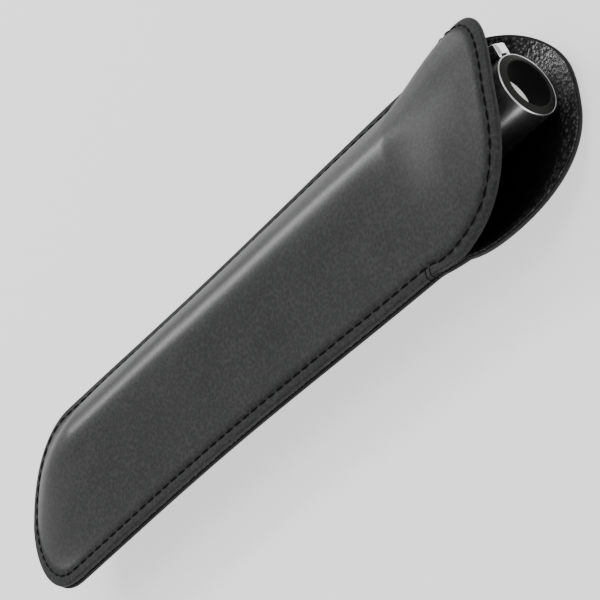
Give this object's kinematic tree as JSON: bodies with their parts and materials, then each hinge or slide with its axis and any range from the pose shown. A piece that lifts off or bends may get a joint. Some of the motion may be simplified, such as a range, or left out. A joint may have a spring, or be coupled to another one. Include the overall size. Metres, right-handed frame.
{
  "type": "fountain pen case",
  "caption": "Slim stitched leather sleeve with rounded front and back tongues, holding a capped pen that slides out of its open mouth.",
  "frame": {"origin": "middle of the case's length and width, on the plane that the flat of the back rests on", "axes": "+Y along the case towards its open mouth, +X across the case towards the right seam as seen from the front with the mouth up, +Z out of the front panel"},
  "size_m": [0.0456, 0.1484, 0.0207],
  "materials": {
    "leather": "smooth black calfskin",
    "lining": "black grained lining",
    "thread": "black waxed thread",
    "chrome": "polished",
    "steel": "satin",
    "black_resin": "polished black",
    "clear_resin": "clear",
    "seal": "satin"
  },
  "bodies": {
    "case": {"front_leather": "leather", "front_lining": "lining", "back_leather": "leather", "back_lining": "lining", "front_stitches": "thread", "back_stitches": "thread", "left_tack": "thread", "right_tack": "thread"},
    "barrel": {"barrel": "black_resin", "barrel_tail": "black_resin", "barrel_band": "chrome"},
    "grip": {"grip": "black_resin", "grip_ring": "chrome", "nib": "steel", "feed": "black_resin", "converter_tube": "clear_resin", "converter_collar": "chrome"},
    "knob": {"converter_knob": "black_resin"},
    "piston": {"piston": "seal", "piston_rod": "steel"},
    "cap": {"cap_tube": "chrome", "cap_lip_ring": "chrome", "cap_liner": "black_resin", "cap_end_ring": "black_resin", "cap_end_disc": "steel", "clip_lug": "chrome", "clip_pin": "steel"},
    "clip": {"clip_arm": "chrome"}
  },
  "joints": [
    {"name": "pen_slide", "type": "slide", "parent": "case", "child": "barrel", "axis": [0, 1, 0], "range_m": [0, 0.145]},
    {"name": "grip_pull", "type": "slide", "parent": "barrel", "child": "grip", "axis": [0, 1, 0], "range_m": [0, 0.065]},
    {"name": "cap_pull", "type": "slide", "parent": "grip", "child": "cap", "axis": [0, 1, 0], "range_m": [0, 0.055]},
    {"name": "clip_flex", "type": "hinge", "parent": "cap", "child": "clip", "pos_m": [-0.00855, 0.06865, 0.01301], "axis": [-0.5736, 0, -0.8192], "range_deg": [0, 3], "stiffness_Nm_per_rad": 2},
    {"name": "knob_turn", "type": "hinge", "parent": "grip", "child": "knob", "pos_m": [-0.0029, -0.0346, 0.00905], "axis": [0, 1, 0], "range_deg": [0, 1440]},
    {"name": "piston_slide", "type": "slide", "parent": "grip", "child": "piston", "axis": [0, -1, 0], "range_m": [0, 0.018]}
  ],
  "couplings": [
    {"joint": "knob_turn", "follows": "piston_slide", "rad_per_m": 1396.3}
  ]
}
